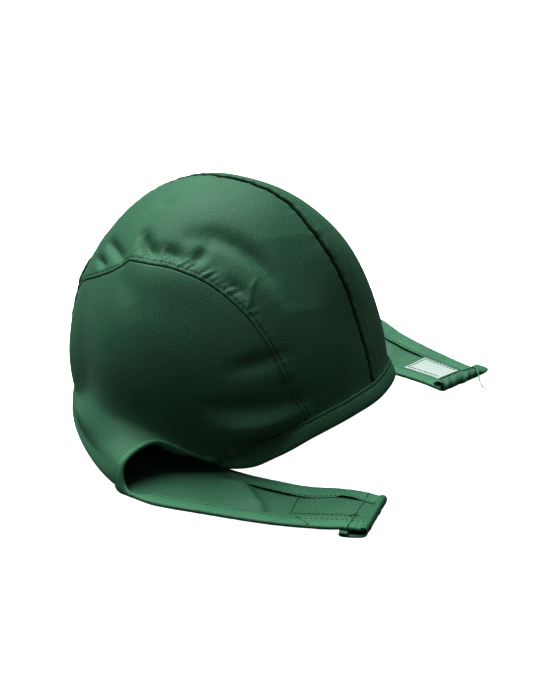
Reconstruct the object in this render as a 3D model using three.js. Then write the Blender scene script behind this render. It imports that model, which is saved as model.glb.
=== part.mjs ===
// Welding cap of green flame-retardant twill, lying on its bound edges with both straps folded under and laid
// forward. Two upper panels meet on a centre seam, two side panels meet on a centre-back seam, and each side panel
// runs out into a strap. Millimetres, +Z up, the front of the cap faces -Y, the wearer's right side is -X.

import * as THREE from "three";

const CLOTH = 1; // twill wall
const TAPE = 1; // one leg of the binding tape
const STRAP_TAPE = 9.4; // depth of a strap's edge inside its folded tape
const HEM_TAPE = 8.2; // depth of the front hem inside its folded tape
const GAP = 0.3; // play between pieces that are sewn together
const TAPE_PLAY = 0.5; // play between a leg of the tape and the cloth inside it
const FLOOR_LINE = TAPE + TAPE_PLAY + CLOTH / 2; // middle of the cloth where a bound edge lies on the floor
const END_LINE = 3.75; // middle of the cloth over the fold under the right strap's end

const HEART = new THREE.Vector3(0, 8, 50); // inside the crown, where its radii are measured from
const FOLD_REACH = 92; // mean radius, used to measure folds along the surface

// Crown radii: bearing is turned from the front towards either side, the columns stand at LIFTS above level.
const LIFTS = [-45, -15, 15, 45, 70, 90];
const CROWN_SECTIONS = [
  { bearing: 0, radii: [122, 106, 91, 95.5, 97.5, 96.5] },
  { bearing: 35, radii: [109, 103, 94, 94, 96, 96.5] },
  { bearing: 70, radii: [89, 86.5, 86, 88, 94, 96.5] },
  { bearing: 105, radii: [85, 82.5, 83.5, 86, 92.5, 96.5] },
  { bearing: 140, radii: [88, 82.5, 83, 85.5, 91.5, 96.5] },
  { bearing: 180, radii: [114, 101, 90, 90.5, 93.5, 96.5] },
];
const BACK_RIDGE = { height: 3, reach: 14, top: 25 }; // keel that the centre-back seam stands up in
const TOP_RIDGE = { height: 2, reach: 12, from: 10, full: 40 }; // fullness along the centre seam

// Free lower edge of the cap, from the front to where the strap folds away from the wall.
const HEM = [
  { bearing: 0, lift: -9.9 },
  { bearing: 17, lift: -10 },
  { bearing: 32, lift: -12.8 },
  { bearing: 43, lift: -18.8 },
  { bearing: 50, lift: -23 },
  { bearing: 61, lift: -29 },
];
const HEM_CORNER = 31.5; // bearing at which the arch seam runs into the hem
const HEM_TAPE_END = 56.3; // bearing at which the hem's tape stops

// Arch seam between an upper panel and a side panel, from the hem round to the centre back.
const ARCH = [
  { bearing: 31.5, lift: -12.7 },
  { bearing: 38.5, lift: 1.5 },
  { bearing: 45, lift: 17.5 },
  { bearing: 53, lift: 29.5 },
  { bearing: 66, lift: 39.3 },
  { bearing: 83, lift: 44.4 },
  { bearing: 100, lift: 45 },
  { bearing: 113, lift: 44.3 },
  { bearing: 124, lift: 37.6 },
  { bearing: 138, lift: 30.5 },
  { bearing: 156, lift: 22.5 },
  { bearing: 180, lift: 12.5 },
];

// Crease at the foot of the wall, where the strap turns outwards, from the hem to the nape.
const FOOT = [
  { bearing: 61, lift: -29 },
  { bearing: 73, lift: -22.5 },
  { bearing: 90, lift: -18.8 },
  { bearing: 111, lift: -16 },
  { bearing: 132, lift: -18.5 },
  { bearing: 150, lift: -20.5 },
  { bearing: 180, lift: -20.5 },
];
const HEM_SHARE = 0.28; // share of the side panel's length that ends on the hem

// Dents (depth above zero) and raised folds (below zero) of the crown; side is 1 on the wearer's right, -1 on the
// left. Each runs from one bearing and lift to another, reach is its half-width.
const FOLDS = [
  { side: 1, from: [133, 36], to: [138, 50], reach: 5, depth: 2.2 },
  { side: 1, from: [118, 43], to: [122, 56], reach: 5, depth: 2.4 },
  { side: 1, from: [95, 47], to: [103, 60], reach: 6, depth: 2.8 },
  { side: 1, from: [72, 44], to: [76, 55], reach: 5, depth: 2 },
  { side: 1, from: [126, 39], to: [130, 54], reach: 5, depth: -1.6 },
  { side: 1, from: [107, 47], to: [112, 60], reach: 6, depth: -1.8 },
  { side: 1, from: [83, 47], to: [86, 58], reach: 6, depth: -1.5 },
  { side: 1, from: [70, 62], to: [45, 50], reach: 9, depth: 2.4 },
  { side: 1, from: [53, 32], to: [47, 40], reach: 4, depth: -1.6 },
  { side: 1, from: [22, 52], to: [25, 30], reach: 13, depth: 2.2 },
  { side: 1, from: [44, 8], to: [64, 2], reach: 8, depth: 2.4 },
  { side: 1, from: [41, 0], to: [62, -9], reach: 7, depth: 2.2 },
  { side: 1, from: [40, -9], to: [66, -18], reach: 7, depth: -2.2 },
  { side: 1, from: [110, 40], to: [104, 18], reach: 10, depth: -1.8 },
  { side: -1, from: [95, 47], to: [102, 60], reach: 6, depth: 2.6 },
  { side: -1, from: [118, 42], to: [122, 56], reach: 6, depth: 2.4 },
  { side: -1, from: [72, 44], to: [76, 56], reach: 6, depth: 2.2 },
  { side: -1, from: [66, 62], to: [44, 48], reach: 10, depth: 2 },
  { side: -1, from: [43, 6], to: [64, 0], reach: 8, depth: 2.2 },
  { side: -1, from: [12, 60], to: [9, 22], reach: 5, depth: -1.2 },
];

// Straps from the foot of the wall to the end: the outer edge, the inner edge and how far the middle of the cloth
// bows away from the line between them. The loop stands off the floor, the rest lies flat.
const STRAP_RIGHT = [
  { outer: [-68.5, -32, 6.3], inner: [-0.2, 107.5, 12.5], bow: [-38, 2, 18] },
  { outer: [-84, -20, 16], inner: [-1.5, 108.5, 9], bow: [-31, 4, 10] },
  { outer: [-103, -8, 27.5], inner: [-2.4, 107.5, 5.8], bow: [-21, 4, 2] },
  { outer: [-117, 2, 20], inner: [-4, 105, 3.4], bow: [-12, 4, -1] },
  { outer: [-117.5, 1, 5], inner: [-8, 99, FLOOR_LINE], bow: [-9, 0, -0.6] },
  { outer: [-118.5, -15, FLOOR_LINE], inner: [-44, 48, FLOOR_LINE], bow: [-4, 0, 0] },
  { outer: [-116, -46, FLOOR_LINE], inner: [-68, -30, FLOOR_LINE], bow: [0, 0, 0] },
  { outer: [-112.3, -80, 2.3], inner: [-67.3, -72, 2.3], bow: [0, 0, 0] },
  { outer: [-107, -106, 2.9], inner: [-63.5, -98.5, 2.9], bow: [0, 0, 0] },
  { outer: [-104.5, -117, END_LINE], inner: [-63.5, -111, END_LINE], bow: [0, 0, 0] },
  { outer: [-101.8, -127.8, END_LINE], inner: [-64.5, -123, END_LINE], bow: [0, 0, 0] },
];
const STRAP_LEFT = [
  { outer: [68.5, -32, 6.3], inner: [0.2, 107.5, 12.5], bow: [38, 2, 18] },
  { outer: [89, -18, 18], inner: [1.5, 108.5, 9], bow: [33, 4, 10] },
  { outer: [116, -5, 29], inner: [2.4, 107.5, 5.8], bow: [25, 4, 3] },
  { outer: [141, 0, 27], inner: [4, 105, 3.4], bow: [17, 5, -4] },
  { outer: [154, -10, 20], inner: [9, 99, FLOOR_LINE], bow: [12, 2, -6] },
  { outer: [156, -29, 14.5], inner: [58, 50, FLOOR_LINE], bow: [5, 0, -5] },
  { outer: [155, -47, 7.5], inner: [106, -18, FLOOR_LINE], bow: [0, 0, -1.8] },
  { outer: [152.5, -66, 2.1], inner: [111.5, -52, FLOOR_LINE], bow: [0, 0, 0] },
  { outer: [144, -92.5, FLOOR_LINE], inner: [105.5, -78.5, FLOOR_LINE], bow: [0, 0, 0] },
  { outer: [136.8, -110.5, FLOOR_LINE], inner: [98, -96.5, FLOOR_LINE], bow: [0, 0, 0] },
];
const FOOT_WIDTH = 170; // cloth along the foot crease, which narrows to the strap
const ROWS_PER_STATION = 4;
const OUTER_TAPE_ROW = 3; // strap row at which the outer edge's tape starts
const INNER_TAPE_ROW = 18; // strap row at which the inner edge's tape starts
const HEM_COLUMNS = 7; // side panel columns that end on the hem
const STRAP_COLUMNS = 11; // side panel columns that go on into the strap

const END_FOLD = { length: 12, thickness: 1.4, lip: 1.2 };
const HOOK_PATCH = { length: 29, width: 19, thickness: 1.5, fromEnd: 13.5, towardsInner: -0.5 };
const LOOP_PATCH = { length: 32, width: 18, thickness: 1.1, fromEnd: 16, towardsInner: 0 };

const TWILL = { color: 0x2f5f48, roughness: 0.92, metalness: 0 };
const BINDING = { color: 0x3d785c, roughness: 0.88, metalness: 0 };
const HOOK = { color: 0xc6ded4, roughness: 0.8, metalness: 0 };
const LOOP = { color: 0x2b5743, roughness: 1, metalness: 0 };

const vec = (values) => new THREE.Vector3(...values);
const clamp01 = (value) => THREE.MathUtils.clamp(value, 0, 1);

// Smooth value at x through the columns xs and ys; level ends have no slope.
function through(xs, ys, x, levelStart = false, levelEnd = false) {
  const last = xs.length - 1;
  let i = 0;
  while (i < last - 1 && x > xs[i + 1]) {
    i += 1;
  }
  const slope = (k) => {
    if ((k === 0 && levelStart) || (k === last && levelEnd)) {
      return 0;
    }
    const a = Math.max(k - 1, 0);
    const b = Math.min(k + 1, last);
    return (ys[b] - ys[a]) / (xs[b] - xs[a]);
  };
  const step = xs[i + 1] - xs[i];
  const t = (x - xs[i]) / step;
  const rise = t * t * (3 - 2 * t);
  const start = t * (1 - t) * (1 - t) * step * slope(i);
  const end = t * t * (t - 1) * step * slope(i + 1);
  return ys[i] + rise * (ys[i + 1] - ys[i]) + start + end;
}

function direction(bearing, lift) {
  const b = THREE.MathUtils.degToRad(bearing);
  const l = THREE.MathUtils.degToRad(lift);
  return new THREE.Vector3(-Math.sin(b) * Math.cos(l), -Math.cos(b) * Math.cos(l), Math.sin(l));
}

const crownFolds = FOLDS.map((fold) => ({
  start: direction(fold.side * fold.from[0], fold.from[1]),
  end: direction(fold.side * fold.to[0], fold.to[1]),
  reach: fold.reach,
  depth: fold.depth,
}));

function foldDepth(dir) {
  let depth = 0;
  for (const fold of crownFolds) {
    const nearest = new THREE.Line3(fold.start, fold.end).closestPointToPoint(dir, true, new THREE.Vector3());
    const away = (nearest.distanceTo(dir) * FOLD_REACH) / fold.reach;
    depth += fold.depth * Math.exp(-away * away);
  }
  return depth;
}

const sectionBearings = CROWN_SECTIONS.map((section) => section.bearing);

function crownRadius(dir) {
  const lift = THREE.MathUtils.radToDeg(Math.asin(THREE.MathUtils.clamp(dir.z, -1, 1)));
  const bearing = THREE.MathUtils.radToDeg(Math.atan2(Math.abs(dir.x), -dir.y));
  const atLifts = LIFTS.map((_, column) => {
    const radii = CROWN_SECTIONS.map((section) => section.radii[column]);
    return through(sectionBearings, radii, bearing, true, true);
  });
  const base = through(LIFTS, atLifts, lift, false, true);
  const aside = Math.abs(dir.x) * FOLD_REACH;
  const behind = dir.y > 0 ? clamp01((BACK_RIDGE.top - lift) / BACK_RIDGE.top) : 0;
  const keel = BACK_RIDGE.height * Math.exp(-aside / BACK_RIDGE.reach) * behind;
  const above = clamp01((lift - TOP_RIDGE.from) / (TOP_RIDGE.full - TOP_RIDGE.from));
  const crest = TOP_RIDGE.height * Math.exp(-aside / TOP_RIDGE.reach) * above;
  return base + keel + crest - foldDepth(dir);
}

const onCrown = (dir) => dir.clone().multiplyScalar(crownRadius(dir)).add(HEART);

// Outward normal of the crown, from points a little way off on either side.
function crownNormal(dir) {
  const east = new THREE.Vector3(-dir.y, dir.x, 0);
  if (east.lengthSq() < 1e-6) {
    east.set(1, 0, 0);
  }
  east.normalize();
  const north = new THREE.Vector3().crossVectors(dir, east).normalize();
  const nudge = (axis, amount) => onCrown(dir.clone().addScaledVector(axis, amount).normalize());
  const across = nudge(east, 0.02).sub(nudge(east, -0.02));
  const up = nudge(north, 0.02).sub(nudge(north, -0.02));
  return across.cross(up).normalize();
}

function slerp(a, b, t) {
  const angle = a.angleTo(b);
  if (angle < 1e-5) {
    return a.clone();
  }
  const from = a.clone().multiplyScalar(Math.sin((1 - t) * angle));
  return from.addScaledVector(b, Math.sin(t * angle)).divideScalar(Math.sin(angle));
}

// Line over the crown through the rows of a table, as a function of the share of its length.
function seamLine(rows) {
  const dirs = rows.map((row) => direction(row.bearing, row.lift));
  const along = [0];
  for (let i = 1; i < dirs.length; i += 1) {
    along.push(along[i - 1] + dirs[i].angleTo(dirs[i - 1]));
  }
  const shares = along.map((value) => value / along[along.length - 1]);
  const bearings = rows.map((row) => row.bearing);
  const lifts = rows.map((row) => row.lift);
  return (t) => direction(through(shares, bearings, t), through(shares, lifts, t));
}

const archLine = seamLine(ARCH);
const footLine = seamLine(FOOT);
const hemLift = (bearing) => through(HEM.map((row) => row.bearing), HEM.map((row) => row.lift), bearing, true);
const hemLine = (t) => {
  const bearing = HEM_CORNER + t * (HEM[HEM.length - 1].bearing - HEM_CORNER);
  return direction(bearing, hemLift(bearing));
};
const centreLine = (t) => {
  const turn = HEM[0].lift + t * (180 - ARCH[ARCH.length - 1].lift - HEM[0].lift);
  return turn <= 90 ? direction(0, turn) : direction(180, 180 - turn);
};

// The same line moved half a gap to one side, so that two panels on it keep clear of each other.
function besideLine(line, t, sign) {
  const ahead = line(Math.min(t + 0.004, 1)).sub(line(Math.max(t - 0.004, 0)));
  const sideways = ahead.cross(line(t)).normalize();
  return line(t).addScaledVector(sideways, (sign * GAP) / 2 / FOLD_REACH).normalize();
}

const mirror = (dir, side) => (side > 0 ? dir : dir.clone().setX(-dir.x));

// Closed solid from corner points and faces of three or four of them.
function solid(name, points, faces, look) {
  const key = (p) => `${p.x.toFixed(3)},${p.y.toFixed(3)},${p.z.toFixed(3)}`;
  const known = new Map();
  const merged = [];
  const index = points.map((p) => {
    if (!known.has(key(p))) {
      known.set(key(p), merged.length);
      merged.push(p);
    }
    return known.get(key(p));
  });
  const triangles = [];
  for (const face of faces) {
    const f = face.map((i) => index[i]);
    const split = f.length === 3 ? [f] : [[f[0], f[1], f[2]], [f[0], f[2], f[3]]];
    for (const [a, b, c] of split) {
      if (a !== b && b !== c && c !== a) {
        triangles.push([a, b, c]);
      }
    }
  }
  let volume = 0;
  for (const [a, b, c] of triangles) {
    volume += merged[a].dot(merged[b].clone().cross(merged[c]));
  }
  const facing = volume > 0 ? triangles : triangles.map(([a, b, c]) => [a, c, b]);
  const geometry = new THREE.BufferGeometry();
  geometry.setAttribute("position", new THREE.Float32BufferAttribute(merged.flatMap((p) => p.toArray()), 3));
  geometry.setIndex(facing.flat());
  geometry.computeVertexNormals();
  const mesh = new THREE.Mesh(geometry, new THREE.MeshStandardMaterial(look));
  mesh.name = name;
  return mesh;
}

// Faces of a grid held as rows of point numbers.
function gridFaces(rows) {
  const faces = [];
  for (let r = 0; r + 1 < rows.length; r += 1) {
    for (let c = 0; c + 1 < rows[r].length; c += 1) {
      faces.push([rows[r][c], rows[r][c + 1], rows[r + 1][c + 1], rows[r + 1][c]]);
    }
  }
  return faces;
}

// Normals of a sheet, from the faces round each point.
function sheetNormals(points, faces) {
  const normals = points.map(() => new THREE.Vector3());
  for (const [a, b, c, d] of faces) {
    const one = points[c].clone().sub(points[a]);
    const area = one.cross(points[d].clone().sub(points[b]));
    [a, b, c, d].forEach((i) => normals[i].add(area));
  }
  return normals.map((n) => n.normalize());
}

// Cloth of even thickness about a sheet, with walls round every free edge.
function clothSolid(name, points, normals, faces, look) {
  const count = points.length;
  const outer = points.map((p, i) => p.clone().addScaledVector(normals[i], CLOTH / 2));
  const inner = points.map((p, i) => p.clone().addScaledVector(normals[i], -CLOTH / 2));
  const all = [...faces, ...faces.map(([a, b, c, d]) => [a, d, c, b].map((i) => i + count))];
  const edges = new Map();
  for (const face of faces) {
    face.forEach((a, k) => {
      const b = face[(k + 1) % face.length];
      if (edges.has(`${b},${a}`)) {
        edges.delete(`${b},${a}`);
      } else {
        edges.set(`${a},${b}`, [a, b]);
      }
    });
  }
  for (const [a, b] of edges.values()) {
    all.push([b, a, a + count, b + count]);
  }
  return solid(name, [...outer, ...inner], all, look);
}

// Binding tape folded over an edge: a channel of two legs, lofted along the stations of the edge. Its faces are split
// along the same diagonals as the cloth's, whose columns run away from the edge or up to it.
function bindingSolid(name, stations, columnsRunIn = true) {
  const near = CLOTH / 2 + TAPE_PLAY;
  const far = near + TAPE;
  const points = [];
  for (const { edge, within, edgeNormal, withinNormal } of stations) {
    const out = edge.clone().sub(within).normalize();
    const crown = (reach, off) => edge.clone().addScaledVector(out, reach).addScaledVector(edgeNormal, off);
    const leg = (off) => within.clone().addScaledVector(withinNormal, off);
    points.push(leg(far), crown(TAPE_PLAY + TAPE, far), crown(TAPE_PLAY + TAPE, -far), leg(-far));
    points.push(leg(-near), crown(TAPE_PLAY, -near), crown(TAPE_PLAY, near), leg(near));
  }
  const faces = [];
  for (let s = 0; s + 1 < stations.length; s += 1) {
    for (let k = 0; k < 8; k += 1) {
      const next = (k + 1) % 8;
      const face = [s * 8 + k, s * 8 + next, s * 8 + 8 + next, s * 8 + 8 + k];
      if ((k % 4 === 0) === columnsRunIn) {
        face.push(face.shift());
      }
      faces.push(face);
    }
  }
  const cap = [[0, 1, 6, 7], [1, 2, 5, 6], [2, 3, 4, 5]];
  const end = (stations.length - 1) * 8;
  cap.forEach((face) => faces.push([...face].reverse()));
  cap.forEach((face) => faces.push(face.map((k) => k + end)));
  return solid(name, points, faces, BINDING);
}

// Share of the arch seam at each column of a side panel.
const seamShares = [];
for (let c = 0; c <= HEM_COLUMNS + STRAP_COLUMNS; c += 1) {
  const behind = (c - HEM_COLUMNS) / STRAP_COLUMNS;
  seamShares.push(c <= HEM_COLUMNS ? (HEM_SHARE * c) / HEM_COLUMNS : HEM_SHARE + (1 - HEM_SHARE) * behind);
}

// Upper panel: columns run from the front hem to the centre back, rows from the centre seam to the arch seam.
function crownPanel(name, side) {
  const columns = 2 * (seamShares.length - 1);
  const rows = 12;
  const points = [];
  const normals = [];
  const grid = [];
  const tip = direction(179.8, ARCH[ARCH.length - 1].lift + 0.2);
  for (let c = 0; c <= columns; c += 1) {
    const u = (seamShares[Math.floor(c / 2)] + seamShares[Math.ceil(c / 2)]) / 2;
    const top = centreLine(u);
    top.x -= GAP / 2 / FOLD_REACH;
    top.normalize();
    const bottom = besideLine(archLine, u, 1);
    const line = [];
    for (let r = 0; r <= rows; r += 1) {
      const v = 1 - (1 - r / rows) ** 1.25;
      const dir = slerp(top, bottom, v);
      if (c < columns) {
        const bearing = THREE.MathUtils.lerp(0.1, HEM_CORNER, v);
        const onHem = direction(bearing, hemLift(bearing));
        const startTop = centreLine(0);
        const away = onHem.sub(slerp(startTop, archLine(0), v));
        dir.addScaledVector(away, (1 - u) ** 4).normalize();
      } else {
        dir.copy(tip);
      }
      const sided = mirror(dir, side);
      line.push(points.length);
      points.push(onCrown(sided));
      normals.push(crownNormal(sided));
    }
    grid.push(line);
  }
  for (let c = 1; c < columns; c += 2) {
    const [before, here, after] = [grid[c - 1][rows], grid[c][rows], grid[c + 1][rows]];
    points[here].lerpVectors(points[before], points[after], 0.5);
    normals[here].lerpVectors(normals[before], normals[after], 0.5);
  }
  return clothSolid(name, points, normals, gridFaces(grid), TWILL);
}

// Side panel with its strap: wall rows run from the arch seam to the hem and the foot crease, strap rows go on from
// the foot crease over the loop and along the floor to the strap's end.
function sidePanel(side, stations) {
  const wallRows = 9;
  const directions = [];
  const wall = [];
  const strapWidth = (s) => stations.outer(s).distanceTo(stations.inner(s));
  const share = (column, width) => {
    const margin = STRAP_TAPE / width;
    if (column === 0 || column === STRAP_COLUMNS) {
      return column / STRAP_COLUMNS;
    }
    return margin + ((1 - 2 * margin) * (column - 1)) / (STRAP_COLUMNS - 2);
  };
  const bottomAt = (column) => {
    if (column <= HEM_COLUMNS) {
      return hemLine(column / HEM_COLUMNS);
    }
    const dir = footLine(share(column - HEM_COLUMNS, FOOT_WIDTH));
    dir.x = Math.min(dir.x, -0.2 / FOLD_REACH);
    return dir.normalize();
  };
  for (let r = 0; r <= wallRows; r += 1) {
    const line = [];
    for (let c = 0; c <= HEM_COLUMNS + STRAP_COLUMNS; c += 1) {
      const top = besideLine(archLine, seamShares[c], -1);
      top.x = Math.min(top.x, -0.15 / FOLD_REACH);
      top.normalize();
      const dir = c === 0 ? direction(HEM_CORNER + 0.1, hemLift(HEM_CORNER)) : slerp(top, bottomAt(c), r / wallRows);
      line.push(directions.length);
      directions.push(mirror(dir, side));
    }
    wall.push(line);
  }
  const points = directions.map(onCrown);

  const foot = wall[wallRows].slice(HEM_COLUMNS);
  const strap = [foot];
  const total = (stations.count - 1) * ROWS_PER_STATION;
  const settle = foot.map((index, column) => {
    const start = stations.across(0, share(column, FOOT_WIDTH));
    return points[index].clone().sub(start);
  });
  for (let r = 1; r <= total; r += 1) {
    const s = r / ROWS_PER_STATION;
    const width = THREE.MathUtils.lerp(FOOT_WIDTH, strapWidth(s), clamp01(s / 3));
    const line = [];
    for (let c = 0; c <= STRAP_COLUMNS; c += 1) {
      const p = stations.across(s, share(c, width));
      p.addScaledVector(settle[c], Math.max(1 - s / 2, 0) ** 2);
      line.push(points.length);
      points.push(p);
    }
    strap.push(line);
  }
  const faces = [...gridFaces(wall), ...gridFaces(strap)];
  const normals = sheetNormals(points, faces);
  const seamPoints = [...wall[0], ...wall.map((line) => line[line.length - 1])];
  const facing = normals[wall[2][4]].dot(crownNormal(directions[wall[2][4]])) > 0 ? 1 : -1;
  seamPoints.forEach((i) => normals[i].copy(crownNormal(directions[i])).multiplyScalar(facing));
  wall.forEach((line) => normals[line[0]].copy(crownNormal(directions[line[0]])).multiplyScalar(facing));
  const station = (line, at, next) => ({
    edge: points[line[at]],
    within: points[line[next]],
    edgeNormal: normals[line[at]],
    withinNormal: normals[line[next]],
  });
  return {
    cloth: (name) => clothSolid(name, points, normals, faces, TWILL),
    outerEdge: strap.slice(OUTER_TAPE_ROW).map((line) => station(line, 0, 1)),
    innerEdge: strap.slice(INNER_TAPE_ROW).map((line) => station(line, STRAP_COLUMNS, STRAP_COLUMNS - 1)),
  };
}

// Strap stations as smooth lines, and points across the cloth between its two edges.
function strapLines(table) {
  const curve = (key) => new THREE.CatmullRomCurve3(table.map((row) => vec(row[key])), false, "catmullrom", 0.5);
  const [outer, inner, bow] = ["outer", "inner", "bow"].map(curve);
  const at = (line, s) => line.getPoint(s / (table.length - 1));
  return {
    count: table.length,
    outer: (s) => at(outer, s),
    inner: (s) => at(inner, s),
    across: (s, w) => {
      const p = at(outer, s).lerp(at(inner, s), w).addScaledVector(at(bow, s), 4 * w * (1 - w));
      return p.setZ(Math.max(p.z, FLOOR_LINE));
    },
  };
}

// Front binding over both upper panels and the front of both side panels.
function frontBinding(name) {
  const count = 48;
  const stations = [];
  for (let i = 0; i <= count; i += 1) {
    const bearing = HEM_TAPE_END * ((2 * i) / count - 1);
    const lift = hemLift(Math.abs(bearing));
    const edge = direction(bearing, lift);
    const within = direction(bearing, lift + THREE.MathUtils.radToDeg(HEM_TAPE / crownRadius(edge)));
    stations.push({
      edge: onCrown(edge),
      within: onCrown(within),
      edgeNormal: crownNormal(edge),
      withinNormal: crownNormal(within),
    });
  }
  return bindingSolid(name, stations);
}

// Plate with a profile of (along, up) points, drawn across the end of a strap.
function acrossEnd(name, table, profile, spill, look) {
  const last = table[table.length - 1];
  const before = table[table.length - 2];
  const outer = vec(last.outer).setZ(0);
  const inner = vec(last.inner).setZ(0);
  const middle = outer.clone().add(inner).divideScalar(2);
  const back = vec(before.outer).add(vec(before.inner)).divideScalar(2).setZ(0);
  const width = outer.clone().sub(inner).normalize();
  const along = new THREE.Vector3(-width.y, width.x, 0);
  if (along.dot(middle.clone().sub(back)) < 0) {
    along.negate();
  }
  const sides = [
    inner.clone().addScaledVector(width, -spill.inner),
    outer.clone().addScaledVector(width, spill.outer),
  ];
  const points = sides.flatMap((origin) => profile.map(([a, z]) => origin.clone().addScaledVector(along, a).setZ(z)));
  const n = profile.length;
  const faces = profile.map((_, k) => [k, (k + 1) % n, n + ((k + 1) % n), n + k]);
  const caps = THREE.ShapeUtils.triangulateShape(profile.map(([a, z]) => new THREE.Vector2(a, z)), []);
  caps.forEach((face) => faces.push([...face].reverse(), face.map((k) => k + n)));
  return solid(name, points, faces, look);
}

// Rectangular profile of a patch that stops short of the strap's end.
function patchProfile(patch, bottom) {
  const front = -patch.fromEnd;
  const back = front - patch.length;
  return [[back, bottom], [front, bottom], [front, bottom + patch.thickness], [back, bottom + patch.thickness]];
}

const patchSpill = (table, patch) => {
  const last = table[table.length - 1];
  const spare = (vec(last.outer).distanceTo(vec(last.inner)) - patch.width) / 2;
  return { inner: patch.towardsInner - spare, outer: -patch.towardsInner - spare };
};

const rightSide = sidePanel(1, strapLines(STRAP_RIGHT));
const leftSide = sidePanel(-1, strapLines(STRAP_LEFT));

const rightEndTop = END_LINE + FLOOR_LINE;
const rightFold = [
  [-END_FOLD.length, 0],
  [GAP + TAPE + END_FOLD.lip, 0],
  [GAP + TAPE + END_FOLD.lip, rightEndTop],
  [GAP + TAPE, rightEndTop],
  [GAP + TAPE, END_FOLD.thickness],
  [-END_FOLD.length, END_FOLD.thickness],
];
const leftEndTop = 2 * FLOOR_LINE + GAP;
const leftFold = [
  [-END_FOLD.length, leftEndTop],
  [GAP + TAPE, leftEndTop],
  [GAP + TAPE, 0],
  [GAP + TAPE + END_FOLD.lip, 0],
  [GAP + TAPE + END_FOLD.lip, leftEndTop + END_FOLD.thickness],
  [-END_FOLD.length, leftEndTop + END_FOLD.thickness],
];
const hookBottom = FLOOR_LINE + CLOTH / 2 + GAP;

const cap = new THREE.Group();
cap.name = "welding_cap";
cap.add(
  crownPanel("crown_right", 1),
  crownPanel("crown_left", -1),
  rightSide.cloth("side_right"),
  leftSide.cloth("side_left"),
  frontBinding("binding_front"),
  bindingSolid("binding_right_outer", rightSide.outerEdge),
  bindingSolid("binding_left_outer", leftSide.outerEdge),
  bindingSolid("binding_right_inner", rightSide.innerEdge, false),
  bindingSolid("binding_left_inner", leftSide.innerEdge, false),
  acrossEnd("end_fold_right", STRAP_RIGHT, rightFold, { inner: 1, outer: 4 }, TWILL),
  acrossEnd("end_fold_left", STRAP_LEFT, leftFold, { inner: 1, outer: 2 }, TWILL),
  acrossEnd("hook_patch", STRAP_LEFT, patchProfile(HOOK_PATCH, hookBottom), patchSpill(STRAP_LEFT, HOOK_PATCH), HOOK),
  acrossEnd("loop_patch", STRAP_RIGHT, patchProfile(LOOP_PATCH, 0), patchSpill(STRAP_RIGHT, LOOP_PATCH), LOOP),
);

// The cap stands over the middle of its own outline.
const outline = new THREE.Box3().setFromObject(cap);
const centre = outline.getCenter(new THREE.Vector3());
cap.children.forEach((mesh) => mesh.geometry.translate(-centre.x, -centre.y, -outline.min.z));

export default cap;
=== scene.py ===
import math
import bpy
import numpy as np
from mathutils import Matrix, Vector


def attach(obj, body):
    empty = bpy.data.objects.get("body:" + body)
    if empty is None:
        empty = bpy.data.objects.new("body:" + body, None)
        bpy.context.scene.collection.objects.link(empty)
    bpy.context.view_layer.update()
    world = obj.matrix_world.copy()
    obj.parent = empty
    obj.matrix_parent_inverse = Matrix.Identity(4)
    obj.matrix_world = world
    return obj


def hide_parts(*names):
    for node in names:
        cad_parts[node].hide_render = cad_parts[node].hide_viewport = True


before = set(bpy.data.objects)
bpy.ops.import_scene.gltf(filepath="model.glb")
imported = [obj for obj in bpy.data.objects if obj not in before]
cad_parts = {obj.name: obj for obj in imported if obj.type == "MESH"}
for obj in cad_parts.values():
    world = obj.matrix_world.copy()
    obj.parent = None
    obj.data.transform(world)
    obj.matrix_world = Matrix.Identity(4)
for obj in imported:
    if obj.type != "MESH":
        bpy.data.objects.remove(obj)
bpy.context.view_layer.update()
bpy.ops.object.select_all(action="DESELECT")


# Upper panels: two mirrored gores of flame-retardant cotton twill, joined on a plain centre seam
# whose allowance is pressed towards the wearer's left. The lower edge of each gore is folded under,
# lapped over the side panel and topstitched, which puckers it.

HEART = np.array([0.0, 8.0, 50.0])  # mm, a place inside the crown that sees all of it
MIDDLE = np.array([18.786, -10.896, 0.0])  # mm, middle of the outline, the frame's origin
CLOTH = 0.7  # mm, the twill's thickness
LIFTS = [-45, -15, 15, 45, 70, 90]  # degrees above level
CROWN = {  # bearing from the front in degrees: mm from the heart at each lift
    0: [122, 102.8, 91, 95.5, 97.5, 96.5],
    35: [109, 101, 94, 94, 96, 96.5],
    70: [89, 86.5, 86, 88, 94, 96.5],
    105: [85, 84, 83.5, 86, 92.5, 96.5],
    140: [88, 79.0, 79.0, 83.5, 91.0, 96.5],
    180: [114, 99.5, 88.5, 89.5, 93.5, 96.5],
}
BACK_RIDGE = {-25: 3.5, -8: 7.0, 12: 8.3, 28: 4.0, 45: 0.0}  # lift: mm the back seam stands out
BACK_REACH = 10.0  # mm
TOP_RIDGE = (2.0, 12.0, 10.0, 40.0)  # height and reach in mm, lifts where it starts and is full
GIRTH = 92.0  # mm from the heart, where reaches over the crown are measured
HEM = [(0, -9.9), (17, -10), (32, -12.8), (43, -18.8), (50, -23.5), (61, -30.3)]  # bearing, lift
HEM_FLARE = (4.0, 5.6)  # mm, how far the hem stands out and how far up that begins
FLARE_END = (48, 62)  # bearings over which the flare dies out
SEAM_LEAN = 3.8  # mm, how far the middle seams lie towards the wearer's right
LEAN_PEAKS = [(82, 14, 0.35), (42, 18, 1.4)]  # degrees over the top from the front, reach, share
LEAN_BACK = (150, 168, 270)  # degrees where the lean of the back seam starts, is full and ends
LEAN_REACH = 18  # mm to each side of the seam
HEM_CORNER = 31.5  # bearing where the arch seam leaves the hem
ARCH = [  # bearing and lift
    (31.5, -12.7), (38.5, 1.5), (45, 17.5), (53, 29.5), (66, 39.3), (83, 44.2), (100, 45),
    (111, 44.9), (113.5, 44.7), (115.5, 43.4), (124, 38.8), (138, 33.4), (156, 25.5), (180, 13.0),
]
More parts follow.
